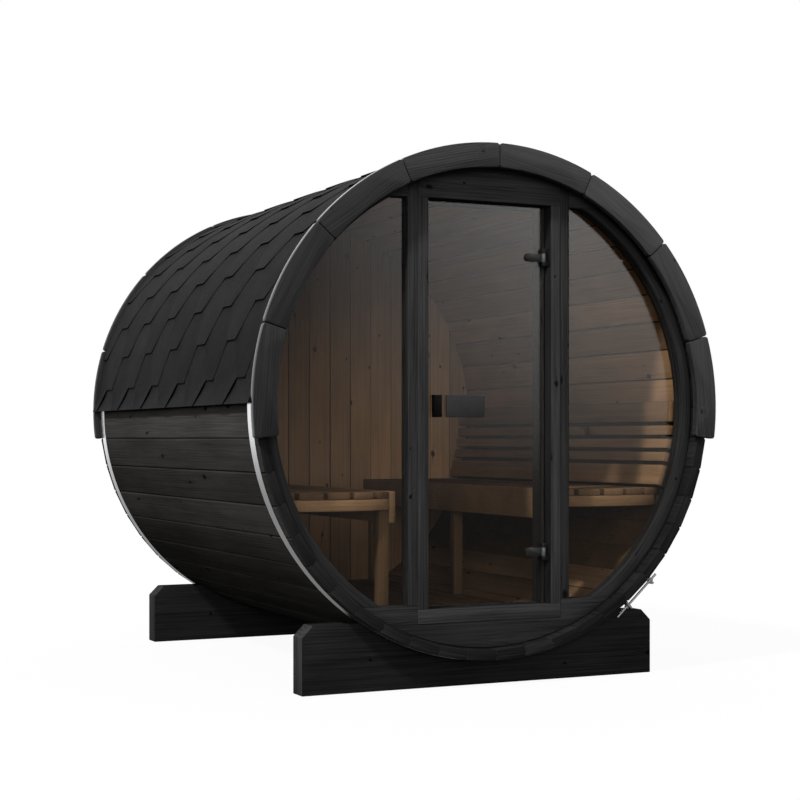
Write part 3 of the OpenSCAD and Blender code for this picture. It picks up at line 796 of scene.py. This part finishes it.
def strip_ends(course):
    """Ends of a course's strips, each of a few tabs, that meet in the middle of a notch."""
    start = first_tab(course) - TAB_PITCH / 2 - (course // 2 % TABS_PER_STRIP) * TAB_PITCH
    low, high = FRONT_Y + ROOF_GAP, BACK_Y - ROOF_GAP
    joints = [start + n * TABS_PER_STRIP * TAB_PITCH for n in range(-1, 5)]
    return [low] + [y for y in joints if low + 0.05 < y < high - 0.05] + [high]


def grid_solid(bm, outer, inner):
    """A closed sheet between two grids of points: rows run up the roof, columns along it."""
    top = [[bm.verts.new(p) for p in column] for column in outer]
    low = [[bm.verts.new(p) for p in column] for column in inner]
    last = len(top) - 1
    rows = len(top[0]) - 1
    for i in range(last):
        for j in range(rows):
            bm.faces.new((top[i][j], top[i + 1][j], top[i + 1][j + 1], top[i][j + 1]))
            bm.faces.new((low[i][j], low[i][j + 1], low[i + 1][j + 1], low[i + 1][j]))
        for j in (0, rows):
            edge = bm.faces.new((top[i][j], top[i + 1][j], low[i + 1][j], low[i][j]))
            edge.material_index = 1
    for i in (0, last):
        for j in range(rows):
            edge = bm.faces.new((top[i][j], top[i][j + 1], low[i][j + 1], low[i][j]))
            edge.material_index = 1


def sheet_columns(side, course, y, foot, head):
    """Outer and inner points of a course at one place along the roof, from its foot up to its head."""
    outer, inner = [], []
    for row in range(ROWS + 1):
        up = foot + (head - foot) * row / ROWS
        lift = lap_lift(course, up)
        outer.append(roof_point(side, up, y, lift + 0.0006))
        inner.append(roof_point(side, up, y, max(0.0003, lift - SHINGLE_T)))
    return outer, inner


def strip(bm, side, course, low, high, rng):
    """One strip of shingles: zigzag cut below, hidden under the next course above."""
    base = butt_line(course)
    head = min(base + LAP * COURSE_RISE, RIDGE - math.radians(0.3))
    slip = rng.uniform(-0.0012, 0.0012)
    outer, inner = [], []
    for y in tab_breaks(course, low + ROOF_GAP / 2, high - ROOF_GAP / 2):
        foot = max(EAVE, base + (tab_edge(course, y) * 1.03) * COURSE_RISE + slip)
        column_out, column_in = sheet_columns(side, course, y, foot, head)
        outer.append(column_out)
        inner.append(column_in)
    grid_solid(bm, outer, inner)


def starter(bm, side):
    """Plain strip under the first course, flush with the eave."""
    head = butt_line(-1) + LAP * COURSE_RISE
    outer, inner = [], []
    for y in (FRONT_Y + ROOF_GAP, BACK_Y - ROOF_GAP):
        column_out, column_in = sheet_columns(side, -1, y, EAVE, head)
        outer.append(column_out)
        inner.append(column_in)
    grid_solid(bm, outer, inner)


def ridge_caps(bm):
    """Short shingles laid over the ridge, each lapping the one behind it."""
    y = FRONT_Y + ROOF_GAP
    while y < BACK_Y - 0.05:
        end = min(y + 1.9 * CAP_STEP, BACK_Y - ROOF_GAP)
        outer, inner = [], []
        for share in (0.0, 0.33, 0.67, 1.0):
            at = y + (end - y) * share
            lift = STARTER_T + LAP_RISE * 0.5 + CAP_RISE * (1.0 - share)
            ups = [RIDGE - CAP_HALF + 2 * CAP_HALF * row / ROWS for row in range(ROWS + 1)]
            outer.append([roof_point(1, up, at, lift + 0.0006) for up in ups])
            inner.append([roof_point(1, up, at, lift - SHINGLE_T / 2) for up in ups])
        grid_solid(bm, outer, inner)
        y += CAP_STEP


def roof(side, node):
    """The shingles of one side, from the eave up, in place of the plain courses."""
    rng = random.Random(SEED + side)
    bm = bmesh.new()
    starter(bm, side)
    for course in range(COURSES):
        ends = strip_ends(course)
        for low, high in zip(ends, ends[1:]):
            strip(bm, side, course, low, high, rng)
    if side > 0:
        ridge_caps(bm)
    bmesh.ops.recalc_face_normals(bm, faces=bm.faces)
    for edge in bm.edges:
        edge.smooth = edge.is_manifold and edge.calc_face_angle() < SHARP
    for face in bm.faces:
        face.smooth = True
    piece = new_piece(node + ".shingles", bm, [SHINGLE, SHINGLE_EDGE], "cabin")
    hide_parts(node)


# Studio

def dome_light(g, x, y, z):
    """Light of the studio dome on the object: from straight above, and low and high from each side."""
    light = g.math("MULTIPLY", g.remap(z, 0.45, 0.95, smooth=True), ZENITH)
    low = g.math("MULTIPLY", g.remap(z, -0.02, 0.05, smooth=True), g.remap(z, 0.5, 0.2, smooth=True))
    high = g.remap(z, 0.2, 0.5, smooth=True)
    front = g.math("MULTIPLY", y, -1.0)
    left = g.math("MULTIPLY", x, -1.0)
    sides = ((front, FRONT_LOW, FRONT_HIGH), (left, LEFT_LOW, LEFT_HIGH), (x, RIGHT_LOW, RIGHT_HIGH),
             (y, BACK_FILL, BACK_FILL))
    for toward, low_level, high_level in sides:
        glow = g.math("POWER", g.math("MAXIMUM", toward, 0.0), 2.0)
        level = g.math("MULTIPLY_ADD", high, high_level, g.math("MULTIPLY", low, low_level))
        light = g.math("MULTIPLY_ADD", glow, level, light)
    return light


def mirror_view(g, x, y, z):
    """What steel and glass reflect: white behind and above, a dim studio with one bright side in front."""
    behind = g.remap(y, -0.35, 0.05, smooth=True)
    above = g.remap(z, 0.35, 0.8, smooth=True)
    turn = g.math("ARCTAN2", x, g.math("MULTIPLY", y, -1.0))
    bright = g.remap(turn, math.radians(22), math.radians(30), 0.34, 1.40)
    front = g.math("MULTIPLY", bright, g.remap(z, -0.03, 0.13, 0.10, 1.15))
    front = g.math("MAXIMUM", front, HORIZON)
    return g.math("MAXIMUM", g.math("MAXIMUM", behind, above), front)


def surround_rays(g):
    """1 for rays that see the surround straight or through glass, and 1 for those that glass or steel mirrors."""
    path = g.add("LightPath").outputs
    through = g.math("MAXIMUM", path["Is Camera Ray"], path["Is Transmission Ray"])
    bounced = g.math("MAXIMUM", path["Diffuse Depth"], path["Glossy Depth"])
    straight = g.math("MULTIPLY", through, g.math("LESS_THAN", bounced, 0.5))
    return straight, g.math("MAXIMUM", path["Is Glossy Ray"], path["Is Transmission Ray"])


def studio_world():
    """Soft light for the object, and a white surround for what the camera sees past it."""
    world = bpy.data.worlds.new("studio")
    bpy.context.scene.world = world
    world.use_nodes = True
    g = Graph(world.node_tree)
    x, y, z = g.split(g.add("TexCoord").outputs["Generated"])
    straight, mirrored = surround_rays(g)
    level = g.mix(mirrored, g.grey(dome_light(g, x, y, z)), g.grey(mirror_view(g, x, y, z)))
    colour = g.mix(straight, level, (1, 1, 1, 1))
    g.out(g.add("Background", {"Color": colour, "Strength": 1.0}).outputs[0], "OutputWorld")


def sun(name, turn, height, width, strength):
    """A light from far away, turned to the left of the front by an angle and raised by another."""
    data = bpy.data.lights.new(name, "SUN")
    data.energy = strength
    data.angle = width
    lamp = bpy.data.objects.new(name, data)
    level = math.cos(height)
    toward = Vector((-math.sin(turn) * level, -math.cos(turn) * level, math.sin(height)))
    lamp.location = 8.0 * toward
    lamp.rotation_euler = (-toward).to_track_quat("-Z", "Y").to_euler()
    bpy.context.scene.collection.objects.link(lamp)


def floor():
    """White floor that keeps a faint shadow of the object and throws little light back at it."""
    made, g = new_material("studio_floor")
    place = g.add("TexCoord").outputs["Object"]
    away = g.length(place)
    behind = g.remap(g.split(place)[1], -1.2, 0.4)
    level = g.math("MULTIPLY", g.remap(away, 2.0, 12.0, 0.25, 0.95), behind)
    level = g.math("MULTIPLY_ADD", g.remap(away, 8.0, 40.0, 0.08, HORIZON), g.math("SUBTRACT", 1.0, behind), level)
    glow = g.add("Emission", {"Color": (1, 1, 1, 1), "Strength": 0.94})
    shaded = g.add("BsdfDiffuse", {"Color": (0.06, 0.06, 0.06, 1)})
    white = g.add("AddShader", {0: shaded.outputs[0], 1: glow.outputs[0]}).outputs[0]
    dim = g.add("BsdfDiffuse", {"Color": (0.07, 0.07, 0.07, 1)}).outputs[0]
    mirror = g.add("Emission", {"Strength": level}).outputs[0]
    straight, mirrored = surround_rays(g)
    other = g.add("MixShader", {0: mirrored, 1: dim, 2: mirror}).outputs[0]
    g.out(g.add("MixShader", {0: straight, 1: other, 2: white}).outputs[0])
    bm = bmesh.new()
    bmesh.ops.create_grid(bm, x_segments=4, y_segments=4, size=40.0)
    mesh = bpy.data.meshes.new("studio_floor")
    bm.to_mesh(mesh)
    bm.free()
    mesh.materials.append(made)
    plane = bpy.data.objects.new("studio_floor", mesh)
    bpy.context.scene.collection.objects.link(plane)


def camera():
    data = bpy.data.cameras.new("camera")
    data.sensor_width = SENSOR
    data.lens = SENSOR * FOCAL_PX / IMAGE_PX
    data.shift_y = (HORIZON_PX - IMAGE_PX / 2) / IMAGE_PX
    view = bpy.data.objects.new("camera", data)
    view.location = CAMERA_AT
    view.rotation_euler = (math.radians(90), 0.0, CAMERA_TURN)
    bpy.context.scene.collection.objects.link(view)
    bpy.context.scene.camera = view


dress_shell()
dress_front()
dress_room()
dress_metal()
finish_nodes()
roof(1, "roof_right")
roof(-1, "roof_left")
studio_world()
sun("key", KEY_TURN, KEY_HEIGHT, KEY_WIDTH, KEY)
sun("fill", FILL_TURN, FILL_HEIGHT, FILL_WIDTH, FILL)
sun("side", SIDE_TURN, SIDE_HEIGHT, SIDE_WIDTH, SIDE)
floor()
camera()
bpy.context.scene.view_settings.view_transform = "Standard"
